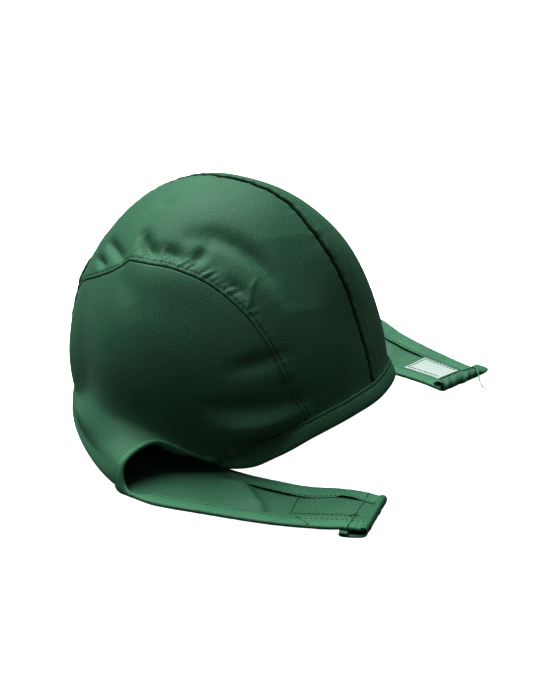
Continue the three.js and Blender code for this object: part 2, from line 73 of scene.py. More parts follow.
DENTS = [  # wearer's right 1 or left -1, bearings and lifts along the fold, reach and depth in mm
    (1, [(154, 44), (122, 44.5)], 3.6, 5.0),
    (1, [(156, 35.5), (138, 38)], 2.9, 3.4),
    (1, [(116, 55.5), (106, 51.5), (96, 48.6)], 4.2, 5.0),
    (1, [(93, 52), (81, 48.4)], 4.0, 3.2),
    (1, [(68, 53), (73.5, 47)], 4.0, 2.6),
    (1, [(77, 57.5), (62, 57), (52, 53.5), (44, 48.5), (39, 41)], 6.0, 3.0),
    (1, [(50, 52), (41, 44), (35, 31)], 5.0, 2.0),
    (1, [(56, 39.5), (51, 34.5)], 3.0, 1.5),
    (1, [(50.5, 28.5), (47.6, 36.5), (45, 39.5)], 1.4, -0.7),
    (1, [(140, 69), (114, 70)], 4.0, 0.8),
    (1, [(22, 52), (26, 26)], 14.0, 2.6),
    (1, [(40, 13), (57, 9.5)], 4.6, 2.0),
    (1, [(37, 3.5), (43, 3)], 3.0, 0.8),
    (1, [(34, -1.5), (66, -4.5)], 5.0, 3.6),
    (1, [(36, -7.0), (62, -12.5)], 5.0, -4.2),
    (1, [(38, -10), (49, -17), (58, -22.5)], 5.0, 5.2),
    (1, [(115, 41), (101, 29)], 8.0, 1.6),
    (1, [(108, 43), (62, 36)], 13.0, -2.0),
    (-1, [(150, 44), (124, 44)], 4.5, 2.2),
    (-1, [(110, 54), (98, 49)], 5.0, 2.5),
    (-1, [(76, 57), (56, 55), (44, 47)], 6.5, 2.1),
    (-1, [(43, 6), (64, 3)], 6.0, 2.2),
    (-1, [(12, 60), (9, 22)], 5.0, -1.2),
]
DENT_END = 0.35  # share of its depth that a dent has left at its ends


def through(stops, values, at, level_start=False, level_end=False):
    """A smooth line through values at the stops, or rows of values, read at each place."""
    stops = np.asarray(stops, float)
    values = np.asarray(values, float)
    step = np.diff(stops).reshape((-1,) + (1,) * (values.ndim - 1))
    slope = np.empty_like(values)
    slope[1:-1] = (values[2:] - values[:-2]) / (step[1:] + step[:-1])
    slope[0] = 0 if level_start else (values[1] - values[0]) / step[0]
    slope[-1] = 0 if level_end else (values[-1] - values[-2]) / step[-1]
    cell = np.clip(np.searchsorted(stops, at, side="right") - 1, 0, len(stops) - 2)
    width = stops[cell + 1] - stops[cell]
    t = (at - stops[cell]) / width

    def read(rows, cell):
        return rows[cell] if rows.ndim == 1 else np.take_along_axis(rows, cell[None], 0)[0]

    start, end = read(values, cell), read(values, cell + 1)
    leave, arrive = read(slope, cell) * width, read(slope, cell + 1) * width
    eased = t * t * (3 - 2 * t)
    return start + (end - start) * eased + leave * t * (1 - t) ** 2 - arrive * t * t * (1 - t)


def unit(vectors):
    return vectors / np.maximum(np.linalg.norm(vectors, axis=-1, keepdims=True), 1e-9)


def smooth_step(low, high, x):
    t = np.clip((x - low) / (high - low), 0, 1)
    return t * t * (3 - 2 * t)


def plateau(begin, full, ease, end, x):
    return smooth_step(begin, full, x) * (1 - smooth_step(ease, end, x))


def bell(x, reach, power=2):
    """A rounded bump of unit height about zero, flatter on top for a higher power."""
    return np.exp(-((x / reach) ** power))


def ripple(x, lengths, seed):
    """Uneven waves of about unit height along x, made of a few wavelengths in mm."""
    turns = [2 * np.pi * x / length + 2.4 * seed + 1.7 * k for k, length in enumerate(lengths)]
    return sum(np.sin(turn) for turn in turns) / len(lengths) ** 0.7


def toward(bearing, lift):
    """Unit vectors at a bearing from the front to the wearer's right and a lift above level."""
    b, e = np.radians(bearing), np.radians(lift)
    return np.stack([-np.sin(b) * np.cos(e), -np.cos(b) * np.cos(e), np.sin(e)], -1)


def hem_lift(bearing):
    return through(*np.array(HEM, float).T, bearing, True)


def crown_radius(ways):
    """Distance in mm from the heart to the crown along each unit vector."""
    lift = np.degrees(np.arcsin(np.clip(ways[:, 2], -1, 1)))
    bearing = np.degrees(np.arctan2(np.abs(ways[:, 0]), -ways[:, 1]))
    sections = np.array(list(CROWN.values())).T
    rings = [through(list(CROWN), section, bearing, True, True) for section in sections]
    radius = through(LIFTS, np.stack(rings), lift, level_end=True)
    aside = np.abs(ways[:, 0]) * GIRTH
    stops, heights = list(BACK_RIDGE), list(BACK_RIDGE.values())
    height = through(stops, heights, np.clip(lift, stops[0], stops[-1]), True, True)
    radius += height * np.exp(-aside / BACK_REACH) * (ways[:, 1] > 0)
    height, reach, start, full = TOP_RIDGE
    radius += height * np.exp(-aside / reach) * np.clip((lift - start) / (full - start), 0, 1)
    height, reach = HEM_FLARE
    over_hem = np.radians(lift - hem_lift(np.minimum(bearing, HEM[-1][0]))) * GIRTH
    radius += height * bell(over_hem, reach) * (1 - smooth_step(*FLARE_END, bearing))
    for side, line, reach, depth in DENTS:
        places = toward(*np.array(line, float).T) * [side, 1, 1]
        away, along = np.full(len(ways), np.inf), np.zeros(len(ways))
        for k, (first, last) in enumerate(zip(places, places[1:])):
            run = last - first
            share = np.clip((ways - first) @ run / (run @ run), 0, 1)
            gap = np.linalg.norm(ways - first - share[:, None] * run, axis=-1)
            along = np.where(gap < away, (k + share) / (len(places) - 1), along)
            away = np.minimum(away, gap)
        fullness = DENT_END + (1 - DENT_END) * np.sin(np.pi * along)
        radius -= depth * bell(away * GIRTH, reach) * fullness
    return radius


def on_crown(ways):
    flat = ways.reshape(-1, 3)
    return (HEART + flat * crown_radius(flat)[:, None]).reshape(ways.shape)


def leaned(ways):
    """The same unit vectors with the middle seams moved aside, most over the brow and behind."""
    over = np.degrees(np.arctan2(ways[..., 2], -ways[..., 1])) % 360
    share = sum(part * bell(over - peak, reach) for peak, reach, part in LEAN_PEAKS)
    start, full, end = LEAN_BACK
    share = share + smooth_step(start, full, over) * (over < end)
    share = share * bell(ways[..., 0] * GIRTH, LEAN_REACH)
    moved = ways.copy()
    moved[..., 0] -= SEAM_LEAN / GIRTH * share
    return unit(moved)


def between(first, last, share):
    """Unit vectors on the short way round from first to last."""
    angle = np.arccos(np.clip(np.sum(first * last, -1, keepdims=True), -1, 1))
    share = np.asarray(share)[..., None]
    return unit(np.sin((1 - share) * angle) * first + np.sin(share * angle) * last)


def seam_line(rows):
    """Unit vectors along a seam given by bearings and lifts, read by the share of its length."""
    bearings, lifts = np.array(rows, float).T
    ways = toward(bearings, lifts)
    turns = np.arccos(np.clip(np.sum(ways[1:] * ways[:-1], -1), -1, 1))
    shares = np.concatenate([[0], np.cumsum(turns)]) / turns.sum()
    return lambda share: toward(through(shares, bearings, share), through(shares, lifts, share))


def centre_line(share):
    turn = HEM[0][1] + share * (180 - ARCH[-1][1] - HEM[0][1])
    return toward(np.where(turn <= 90, 0.0, 180.0), np.where(turn <= 90, turn, 180 - turn))


def run_length(points, axis):
    """Distance along one axis of a grid of points, from its start."""
    steps = np.linalg.norm(np.diff(points, axis=axis), axis=-1)
    start = np.zeros_like(np.take(steps, [0], axis=axis))
    return np.concatenate([start, np.cumsum(steps, axis=axis)], axis=axis)


def grid_faces(numbers):
    """Faces of four between the rows and columns of a grid of point numbers."""
    corners = [numbers[:-1, :-1], numbers[:-1, 1:], numbers[1:, 1:], numbers[1:, :-1]]
    return np.stack(corners, -1).reshape(-1, 4)


def grid_sheet(grid):
    """The points of a grid in one list, and the faces between them."""
    return grid.reshape(-1, 3), grid_faces(np.arange(grid.size // 3).reshape(grid.shape[:2]))


def weave_places(across, along):
    """The place of each point of a grid in the weave, from mm across and along the cloth."""
    return np.stack(np.broadcast_arrays(across, along), -1).reshape(-1, 2)


def face_normals(points, faces):
    """Unit normals at the points, from the faces round each."""
    a, b, c, d = (points[faces[:, corner]] for corner in range(4))
    across = np.cross(c - a, d - b)
    normals = np.zeros_like(points)
    for corner in range(4):
        np.add.at(normals, faces[:, corner], across)
    return unit(normals)


def piece(name, points, faces, weave, finish, painted_shade=None):
    """An object from points in mm and faces, with each point's place in the weave and its share of
    painted crease shade.
    """
    mesh = bpy.data.meshes.new(name)
    mesh.from_pydata(((points - MIDDLE) / 1000).tolist(), [], faces)
    mesh.update()
    corners = np.empty(len(mesh.loops), np.int64)
    mesh.loops.foreach_get("vertex_index", corners)
    layer = mesh.uv_layers.new(name="weave")
    layer.data.foreach_set("uv", (weave[corners] / 1000).astype(np.float32).ravel())
    # painted shade: a point attribute that says how far each place takes the near-black crease
    # colour
    if painted_shade is not None:
        shares = mesh.attributes.new("painted_shade", "FLOAT", "POINT")
        shares.data.foreach_set("value", painted_shade.astype(np.float32))
    mesh.polygons.foreach_set("use_smooth", np.ones(len(mesh.polygons), bool))
    mesh.materials.append(finish)
    made = bpy.data.objects.new(name, mesh)
    bpy.context.collection.objects.link(made)
    return made


def thick_cloth(name, points, faces, weave, finish, thickness=CLOTH, painted_shade=None):
    """Cloth of that thickness about a sheet of points, closed round its edge."""
    half = face_normals(points, faces) * thickness / 2
    count = len(points)
    sides = np.concatenate([faces[:, [k, (k + 1) % 4]] for k in range(4)])
    keys = np.sort(sides, axis=1) @ [count, 1]
    _, where, times = np.unique(keys, return_index=True, return_counts=True)
    start, end = sides[where[times == 1]].T
    wall = np.stack([end, start, start + count, end + count], -1)
    every = np.concatenate([faces, faces[:, ::-1] + count, wall]).tolist()
    both = np.concatenate([points + half, points - half])
    painted_shade = None if painted_shade is None else np.concatenate([painted_shade, painted_shade])
    return piece(name, both, every, np.concatenate([weave, weave]), finish, painted_shade)


class Wire:
    """One socket of a finish, so that arithmetic on it adds the nodes."""

    def __init__(self, finish, socket):
        self.finish = finish
        self.socket = socket

    def math(self, operation, first, second=0.0):
        return self.finish.node("ShaderNodeMath", {"operation": operation}, {0: first, 1: second})

    def __add__(self, other):
        return self.math("ADD", self, other)

    def __sub__(self, other):
        return self.math("SUBTRACT", self, other)

    def __rsub__(self, other):
        return self.math("SUBTRACT", other, self)

    def __mul__(self, other):
        return self.math("MULTIPLY", self, other)

    __radd__ = __add__
    __rmul__ = __mul__

    def sine(self):
        return self.math("SINE", self)


class Finish:
    """A material, built one node at a time."""

    def __init__(self, name):
        self.material = bpy.data.materials.new(name)
        self.material.use_nodes = True
        self.tree = self.material.node_tree
        self.tree.nodes.clear()

    def node(self, kind, settings, sockets, output=0):
        made = self.tree.nodes.new(kind)
        for key, value in settings.items():
            setattr(made, key, value)
        for key, value in sockets.items():
            if isinstance(value, Wire):
                self.tree.links.new(value.socket, made.inputs[key])
            else:
                made.inputs[key].default_value = value
        return Wire(self, made.outputs[output]) if len(made.outputs) else None

    def blend(self, share, first, second):
        sockets = {0: share, 6: first, 7: second}
        return self.node("ShaderNodeMix", {"data_type": "RGBA"}, sockets, 2)

    def noise(self, place, scale, detail):
        sockets = {"Vector": place, "Scale": scale, "Detail": detail}
        return self.node("ShaderNodeTexNoise", {}, sockets)

    def woven(self):
        """The place in the weave, and its parts across and along the cloth."""
        weave = self.node("ShaderNodeUVMap", {"uv_map": "weave"}, {})
        parts = [self.node("ShaderNodeSeparateXYZ", {}, {0: weave}, axis) for axis in (0, 1)]
        return weave, *parts

    def covered(self, sockets, kind="ShaderNodeBsdfPrincipled"):
        """The material, with that shader over its surface."""
        shader = self.node(kind, {}, sockets)
        self.node("ShaderNodeOutputMaterial", {}, {"Surface": shader})
        return self.material


RIB_PITCH = 0.00105  # m
RIB_DRIFT, FLECKS, DYE_PATCHES = 120.0, 1600.0, 45.0  # to the metre
# near-black colour of the shade painted into seam creases and of the shadow painted under the
# lapped edge
CREASE_SHADE = (0.001, 0.003, 0.002, 1)


def twill(name, dark, light, slant):
    """Cotton twill: fine slanting ribs, flecks of paler yarn, broad uneven dye, a soft bloom, and
    near-black painted shade in seam creases, read from a point attribute.
    """
    finish = Finish(name)
    weave, weft, warp = finish.woven()
    turn = 2 * math.pi / RIB_PITCH
    drift = finish.noise(weave, RIB_DRIFT, 1.0) * 3.0
    ribs = (weft * (turn * math.cos(slant)) + warp * (turn * math.sin(slant)) + drift).sine()
    flecks = finish.noise(weave, FLECKS, 3.0)
    dye = finish.noise(weave, DYE_PATCHES, 3.0)
    paler = (flecks - 0.5) * 7.0 + (dye - 0.5) * 0.7 + ribs * 0.25 + 0.5
    # painted shade: how far each place takes the near-black crease colour
    painted_shade = finish.node("ShaderNodeAttribute", {"attribute_name": "painted_shade"}, {}, 2)
    cloth = finish.blend(paler, (*dark, 1), (*light, 1))
    relief = ribs * 0.16 + flecks * 2.2
    bump = {"Strength": 0.5, "Distance": 0.00016, "Height": relief}
    return finish.covered({
        "Base Color": finish.blend(painted_shade, cloth, CREASE_SHADE),
        "Roughness": 0.56 + (flecks - 0.5) * 0.2,
        "Normal": finish.node("ShaderNodeBump", {}, bump),
        "Specular IOR Level": 0.2,
        "Sheen Weight": 0.06,
        "Sheen Roughness": 0.5,
        "Sheen Tint": (0.5, 1.0, 0.75, 1.0),
    })


green_twill = twill("green_twill", (0.042, 0.120, 0.073), (0.086, 0.212, 0.136), math.radians(-48))
arch_line = seam_line(ARCH)


def read_along(run, rows, at):
    """Rows of numbers that belong to places along a run, read at other places."""
    return np.stack([np.interp(at, run, column) for column in rows.T], -1)


def line_at(grid, away, distance):
    """The line of a grid at that distance, where each column's distance from an edge is known."""
    line = []
    for places, run in zip(grid.swapaxes(0, 1), away.T):
        order = np.argsort(run)
        line.append(read_along(run[order], places[order], distance))
    return np.array(line)


PANEL_ROWS, PANEL_COLUMNS = 111, 341
ROW_CROWDING = 0.8  # how much closer the rows lie beside the two seams
PANEL_END = 0.996  # share of the seams' length at the panel's point
HEM_START = 0.1  # bearing of the panel's front corner
LAP_STITCH = 2.4  # mm from the folded edge to its topstitching
LAP_RELIEF = [  # mm from the folded edge, reach and height: swell, turned edge, stitched groove
    (0, 6, 0.35), (0, 0.35, -0.3), (LAP_STITCH, 0.5, -0.14),
]
PUCKERED = (60, 110, 225, 265)  # mm along the arch where puckers begin, are full, ease and end
TUCK_WAVES, TUCK_SLANT = [3.9, 5.3, 7.6], 0.25  # mm, and mm along for each mm up
TUCK_PLACE, TUCK_REACH = 4.2, 3.4  # mm from the folded edge
TUCK_HEIGHT, TUCK_GAIN = 0.08, 0.30  # mm, on the whole arch and more where it is puckered
GATHER_WAVES, GATHER_START, GATHER_REACH = [9.7, 14.3, 21.0], (3, 6), 12  # mm
GATHER_HEIGHT, GATHER_GAIN = 0.08, 0.16  # mm
SWAY, SWAY_WAVES, SWAY_REACH = 0.55, [13, 19, 31, 47], 10  # mm, the centre seam's uneven line
SEAM_SINK, SEAM_REACH, SEAM_SHADE = 4.5, 0.9, 1.4  # mm, the centre seam's groove, and the reach of the shade painted along its crease
SEAM_PUCKER, SEAM_WAVES, PUCKER_REACH = 0.24, [5.3, 7.9, 11.9], 4  # mm
ALLOWANCE, ALLOWANCE_SPAN = 0.4, (0.8, 2, 9, 13)  # mm, where it rises and falls
ALLOWANCE_EDGE = (10, 1.6, 0.2)  # mm from the centre seam, reach and height


def upper_panel(name, side):
    """One upper panel: rows from the centre seam to the arch seam, columns from hem to back."""
    steps = np.linspace(0, 1, PANEL_ROWS)
    rows = steps - ROW_CROWDING * np.sin(2 * np.pi * steps) / (2 * np.pi)
    columns = np.linspace(0, PANEL_END, PANEL_COLUMNS)
    top, bottom = centre_line(columns), arch_line(columns)
    ways = between(top[None], bottom[None], np.repeat(rows[:, None], len(columns), 1))
    bearing = HEM_START + rows * (HEM_CORNER - HEM_START)
    hem = toward(bearing, hem_lift(bearing))
    hem_share = (1 - columns) ** 4
    ways = unit(ways + (hem - ways[:, 0])[:, None] * hem_share[None, :, None])
    grid = on_crown(leaned(ways * [side, 1, 1]))
    from_centre = run_length(grid, 0)
    from_arch = from_centre[-1] - from_centre
    along_arch = run_length(grid[-1], 0)
    along_centre = run_length(grid[0], 0)
    sway = SWAY * ripple(along_centre, SWAY_WAVES, 2.0)
    grid[:, :, 0] += sway * np.exp(-from_centre / SWAY_REACH)

    puckered = plateau(*PUCKERED, along_arch)
    height = sum(rise * bell(from_arch - place, reach) for place, reach, rise in LAP_RELIEF)
    tucks = ripple(along_arch + TUCK_SLANT * from_arch, TUCK_WAVES, 0.3 + side)
    tucks *= TUCK_HEIGHT + TUCK_GAIN * puckered
    height += tucks * bell(from_arch - TUCK_PLACE, TUCK_REACH)
    gathers = ripple(along_arch, GATHER_WAVES, 1.1 + side)
    gathers *= GATHER_HEIGHT + GATHER_GAIN * puckered
    height += gathers * bell(from_arch, GATHER_REACH) * smooth_step(*GATHER_START, from_arch)
    height -= SEAM_SINK * bell(from_centre, SEAM_REACH)
    puckers = SEAM_PUCKER * ripple(along_centre, SEAM_WAVES, 0.7)
    height += puckers * bell(from_centre, PUCKER_REACH)
    if side < 0:
        height += ALLOWANCE * plateau(*ALLOWANCE_SPAN, from_centre)
        place, reach, rise = ALLOWANCE_EDGE
        height += rise * bell(from_centre - place, reach)

    flat, faces = grid_sheet(grid)
    normals = face_normals(flat, faces)
    if np.sum(normals * (flat - HEART)) < 0:
        faces, normals = faces[:, ::-1], -normals
    flat = flat + normals * height.reshape(-1, 1)
    weave = weave_places(from_centre * side, along_centre)
    # painted shade, darkest along the centre seam's crease
    painted_shade = bell(from_centre, SEAM_SHADE, 4).ravel()
    made = thick_cloth(name, flat, faces, weave, green_twill, painted_shade=painted_shade)
    stitched = line_at(flat.reshape(grid.shape), from_arch, LAP_STITCH)
    facing = line_at(normals.reshape(grid.shape), from_arch, LAP_STITCH)
    return made, stitched, unit(facing)


lap_stitching = {}
for side, hand in ((1, "right"), (-1, "left")):
    panel, *lap_stitching[hand] = upper_panel(f"upper_panel_{hand}", side)
    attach(panel, "root")
    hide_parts(f"crown_{hand}")


# Side panels: two pieces of the same twill, each running from the arch seam down to the hem and the
# neck, and on without a seam into a long chin strap. They meet on a plain centre-back seam. Each
# strap is folded under the crown, turns at the side and comes forward on the floor, inside face up.

FLOOR = 1.45  # mm, height of cloth that lies on the floor on its bound edges
RAISED = 3.6  # mm, height of cloth over a turned end
FOOT = [  # bearing and lift of the crease at the floor
    (61, -30.3), (73, -20.5), (90, -14), (111, -13), (132, -16), (150, -20.5), (180, -22),
]
HEM_SHARE = 0.28  # share of the arch seam that is over the hem
STRAPS = {  # stations in mm: outer edge, inner edge, and how far the cloth bows out beside each
    "right": [
        ((-68.5, -32, 4.8), (-0.2, 107.5, 12.5), (-59, 46, 48), (-29, 0, 8.5)),
        ((-78.5, -17.2, 13.8), (-1.5, 108.5, 9), (-50, 24, 27), (-28, 0, 3)),
        ((-88.5, -1.0, 21.5), (-2.4, 107.5, 5.8), (-48, -4, 1), (-25, 8, 2)),
        ((-107.2, 7.2, 16.0), (-4, 105, 3.4), (-35.5, -20.5, -2), (-19, 7, -2)),
        ((-113.6, 3.2, 3.6), (-8, 99, FLOOR), (-35, -19, -2), (-12, 12, -0.5)),
        ((-118.5, -15, FLOOR), (-22, 41, FLOOR), (-5, 0, 0), (-5, 0, 0)),
        ((-116, -46, FLOOR), (-62, -22, FLOOR), (0, 0, 0), (0, 0, 0)),
        ((-112.3, -80, 1.8), (-72.0, -74.3, 3.8), (0, 0, -2), (0, 0, -2)),
        ((-107, -106, 2.6), (-63.5, -98.5, 2.6), (0, 0, 0), (0, 0, 0)),
        ((-104.5, -117, RAISED), (-63.5, -111, RAISED), (0, 0, 0), (0, 0, 0)),
        ((-101.8, -127.8, RAISED), (-64.5, -123, RAISED), (0, 0, 0), (0, 0, 0)),
    ],
    "left": [
        ((68.5, -32, 6.3), (0.2, 107.5, 12.5), (59, 46, 48), (29, 0, 8.5)),
        ((89, -18, 18), (1.5, 108.5, 9), (50, 10, 20), (34, 2, 6)),
        ((116, -5, 29), (2.4, 107.5, 5.8), (40, 3, 6), (26, 8, 2)),
        ((141, 0, 27), (4, 105, 3.4), (26, 2, -6), (18, 8, -3)),
        ((154, -10, 20), (9, 99, FLOOR), (17, 0, -9), (14, 8, -3)),
        ((155, -30, 20.0), (58, 50, FLOOR), (7, 0, -7), (7, 0, -7)),
        ((148.5, -50.1, 14.0), (106, -18, FLOOR), (0, 0, -4), (0, 0, -4)),
        ((143.5, -70.3, 9.2), (111.5, -52, FLOOR), (0, 0, -1.5), (0, 0, -1.5)),
        ((141.3, -93.8, 3.1), (105.5, -78.5, FLOOR), (0, 0, 0), (0, 0, 0)),
        ((136.8, -110.5, FLOOR), (97.5, -97, FLOOR), (0, 0, 0), (0, 0, 0)),
    ],
}
STRAP_CREASES = [  # from and to on the floor in mm, reach behind and ahead, and height, in mm
    ((-79.5, -47), (-102, -70), 10.0, 3.2, 4.0),
    ((142, -48), (120, -52), 5.0, 5.0, 0.9),
]
CREASED_FROM = (5, 6)  # stations over which the strap comes to lie flat
CREASED_ACROSS = (0.12, 0.35, 0.65, 0.88)  # shares of the width where creases fade in and out
HEM_COLUMNS, STRAP_ROWS = 60, 200
COLUMNS = np.concatenate([  # shares of the width, closer beside the back seam
    np.linspace(0, 0.965, 103), [0.972, 0.978, 0.984, 0.989, 0.993, 0.996, 0.9985, 1.0],
])
LAP_ROWS = [-3.0, -1.5, 0.0, 0.3, 0.6, 0.95, 1.4, 2.0]  # mm below the lapped edge
WALL_ROWS = 68  # from the lap to the crease at the floor
SETTLING = 2  # stations over which the strap takes on the wall's foot
FOLD_REACH, FOLD_ROUNDS = 11.0, 140  # rows beside the crease, and how often it is rounded
UNDER_LAP, LAP_EDGE, LAP_REACH, LAP_SHADE = 1.5, 0.9, 0.6, 0.8  # mm, how the cloth sinks below the lap, and how far below the lapped edge a shadow is painted
BACK_SINK, BACK_SINK_REACH, BACK_SHADE = 2.8, 0.9, 2.0  # mm, the back seam's groove, and the reach of the shade painted along its crease
BACK_PUCKER, BACK_WAVES = 0.4, [4.3, 6.1, 9.0]  # mm
BACK_PUCKER_PLACE, BACK_PUCKER_REACH = 1.5, 2.2  # mm from the back seam
MID_WALL, MID_STRAP = 100, 55  # columns that the weave's length is measured on
EDGE_STEP = 6  # columns from an edge, for the way in from it
foot_line = seam_line(FOOT)


def along_stations(places, at):
    """A smooth line through places one step apart, read at each number of steps."""
    places = np.asarray(places, float)
    ends = np.concatenate([[2 * places[0] - places[1]], places, [2 * places[-1] - places[-2]]])
    cell = np.clip(np.floor(at).astype(int), 0, len(places) - 2)
    t = (at - cell)[:, None]
    a, b, c, d = (ends[cell + k] for k in range(4))
    return b + 0.5 * t * (c - a + t * (2 * a - 5 * b + 4 * c - d + t * (3 * (b - c) + d - a)))


def strap_cloth(hand, at, across):
    """Places on a strap at numbers of stations along it and shares of its width."""
    lines = [along_stations(places, at)[:, None] for places in zip(*STRAPS[hand])]
    outer, inner, first, last = lines
    w = across[None, :, None]
    cloth = outer + (inner - outer) * w + 3 * w * (1 - w) * (first * (1 - w) + last * w)
    cloth[..., 2] = np.maximum(cloth[..., 2], FLOOR)
    return cloth


def side_wall(side):
    """The panel from the arch seam to the hem and the crease at the floor, column by column."""
    hem_steps = np.linspace(0.015, 1, HEM_COLUMNS, endpoint=False)
    seam = np.concatenate([hem_steps * HEM_SHARE, HEM_SHARE + (1 - HEM_SHARE) * COLUMNS])
    hem_bearing = HEM_CORNER + hem_steps * (HEM[-1][0] - HEM_CORNER)
    bottom = np.concatenate([toward(hem_bearing, hem_lift(hem_bearing)), foot_line(COLUMNS)])
    top = arch_line(seam)
    drop = np.arccos(np.clip(np.sum(top * bottom, -1), -1, 1)) * GIRTH
    under_lap = np.array(LAP_ROWS)[:, None] / drop
    rows = under_lap[-1] + (1 - under_lap[-1]) * np.linspace(0, 1, WALL_ROWS)[1:, None]
    ways = between(top[None], bottom[None], np.concatenate([under_lap, rows]))
    ways[..., 0] = np.minimum(ways[..., 0], -1e-4)
    return on_crown(leaned(ways * [side, 1, 1]))


def crease_lift(laid):
    """How far the creases of a laid strap raise each place on it, in mm."""
    lifted = np.zeros(len(laid))
    for begin, end, behind, before, rise in STRAP_CREASES:
        run = np.subtract(end, begin)
        offset = laid[:, :2] - begin
        share = np.clip(offset @ run / (run @ run), 0, 1)
        away = np.linalg.norm(offset - share[:, None] * run, axis=-1)
        lifted += rise * bell(away, np.where(offset @ [-run[1], run[0]] > 0, before, behind))
    return lifted


def side_panel(hand, side):
    """One side panel with its strap, and the frames of the strap's two edges."""
    wall = side_wall(side)
    below = run_length(wall, 0)
    below = below - below[LAP_ROWS.index(0.0)]
    from_back = run_length(wall[:, ::-1], 1)[:, ::-1]

    at = np.linspace(0, len(STRAPS[hand]) - 1, STRAP_ROWS)
    strap = strap_cloth(hand, at, COLUMNS)
    settle = wall[-1, HEM_COLUMNS:] - strap[0]
    strap = strap + settle[None] * np.maximum(1 - at / SETTLING, 0)[:, None, None] ** 2
    cloth = np.concatenate([wall[:, HEM_COLUMNS:], strap[1:]])
    crease = len(wall) - 1
    soft = bell(np.arange(len(cloth)) - crease, FOLD_REACH)[1:-1, None, None]
    for _ in range(FOLD_ROUNDS):
        cloth[1:-1] += 0.5 * soft * ((cloth[2:] + cloth[:-2]) / 2 - cloth[1:-1])
    wall[:, HEM_COLUMNS:] = cloth[: crease + 1]
    strap = cloth[crease:]

    walled = wall.size // 3
    numbers = np.arange(walled).reshape(wall.shape[:2])
    strap_numbers = walled + np.arange(strap[1:].size // 3).reshape(-1, len(COLUMNS))
    strap_numbers = np.concatenate([numbers[-1:, HEM_COLUMNS:], strap_numbers])
    faces = np.concatenate([grid_faces(numbers), grid_faces(strap_numbers)])
    flat = np.concatenate([wall.reshape(-1, 3), strap[1:].reshape(-1, 3)])
    normals = face_normals(flat, faces)
    if np.sum(normals[:walled] * (flat[:walled] - HEART)) < 0:
        faces, normals = faces[:, ::-1], -normals

    height = -np.where(below < 0, UNDER_LAP, LAP_EDGE) * bell(np.maximum(below, 0), LAP_REACH)
    height -= BACK_SINK * bell(from_back, BACK_SINK_REACH)
    puckers = BACK_PUCKER * ripple(below, BACK_WAVES, 1.9 + side)
    height += puckers * bell(from_back - BACK_PUCKER_PLACE, BACK_PUCKER_REACH)
    flat[:walled] += normals[:walled] * height.reshape(-1, 1)
    # painted shade along the back seam's crease, and a painted shadow under the lapped edge of the
    # upper panel
    painted_shade = np.zeros(len(flat))
    back_shade = bell(from_back, BACK_SHADE, 4)
    painted_shade[:walled] = np.maximum(back_shade, 0.9 * (below < LAP_SHADE)).ravel()
    on_floor = np.repeat(smooth_step(*CREASED_FROM, at[1:]), len(COLUMNS))
    inside = np.tile(plateau(*CREASED_ACROSS, COLUMNS), len(at) - 1)
    flat[walled:, 2] += crease_lift(flat[walled:]) * on_floor * inside

    spread = run_length(wall[len(LAP_ROWS)], 0)
    fall = run_length(wall[:, MID_WALL], 0)
    width = np.linalg.norm(strap[:, -1] - strap[:, 0], axis=-1)
    across = (0.5 - COLUMNS[None]) * width[1:, None] - spread[HEM_COLUMNS + MID_STRAP]
    along = -fall[-1] - run_length(strap[:, MID_STRAP], 0)[1:, None]
    weave = [weave_places(-spread[None, :], -fall[:, None]), weave_places(across, along)]
    made = thick_cloth(
        f"side_panel_{hand}", flat, faces, np.concatenate(weave), green_twill, painted_shade=painted_shade
    )

    placed = flat[strap_numbers]
    facing = normals[strap_numbers]
    edges = {}
    for edge, rim, within in (("outer", 0, EDGE_STEP), ("inner", -1, -1 - EDGE_STEP)):
        inward = unit(placed[:, within] - placed[:, rim])
        edges[edge] = (placed[:, rim], facing[:, rim], inward)
    return made, edges, placed


strap_edges, strap_places = {}, {}
for side, hand in ((1, "right"), (-1, "left")):
    panel, strap_edges[hand], strap_places[hand] = side_panel(hand, side)
    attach(panel, "root")
    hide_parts(f"side_{hand}")


# Bindings: twill tape cut on the bias, its raw edges pressed in, folded in half over the cloth's
# edge and sewn through. One run goes along the near strap, the front hem and the far strap, and
# two more along the neck edges.

TAPE = 9.4  # mm, from the folded edge to the tape's border
TAPE_STITCH, STITCH_RISE = 1.5, 0.24  # mm from the tape's border, and over the bed
TAPE_SPACING = 1.2  # mm between sections
BED = CLOTH / 2 + 0.05  # mm, from the middle of the cloth to the tape
FOLD_OUT, FOLD_IN = -0.85, -0.2  # mm, outside and inside of the fold, past the cloth's edge
TAPE_SECTION = [  # from the border to the fold: mm in from the border, mm over the bed
    (0.0, 0.02), (-0.06, 0.32), (0.25, 0.56), (0.8, 0.60), (TAPE_STITCH, STITCH_RISE), (2.2, 0.58),
    (3.3, 0.82), (4.8, 0.95), (6.6, 0.98), (8.4, 0.88), (TAPE + 0.35, 0.5),
]
LOOSE_BORDERS = [  # where a border gapes: place on the edge in mm, reach along it and height in mm
    ((-72.0, -66.0, 3.0), 15.0, 1.5),
    ((-64.0, -106.0, 3.0), 7.0, 1.1),
    ((146.5, -58.0, 9.0), 16.0, 1.3),
]
GAPE_WIDTH = 4.5  # mm in from a border that gapes
DRAWN_IN, DRAWN_REACH = 5.0, 16  # mm, how much narrower the tape is at tight turns
EVENED, EVENED_AT_TURN, TURN_REACH = 4, 13, 20  # sections to each side, and mm from a turn
WANDER, WANDER_WAVES = 0.3, [23, 37]  # mm, the uneven line of the border
PLUMPNESS, PLUMP_WAVES = 0.1, [5.9, 8.3, 13.1]  # share of the rise, mm
UNDERSIDE = 0.05  # mm, lowest place of the tape over the floor
NECK_START = 84  # row of the strap where the tape of the neck edge starts
bias_twill = twill("bias_twill", (0.051, 0.153, 0.092), (0.102, 0.260, 0.168), math.radians(10))


def moving_mean(row, reach):
    window = np.ones(2 * reach + 1) / (2 * reach + 1)
    return np.convolve(np.pad(row, reach, "edge"), window, "valid")


def distance_to(place, edge):
    return np.linalg.norm(edge - place, axis=-1)


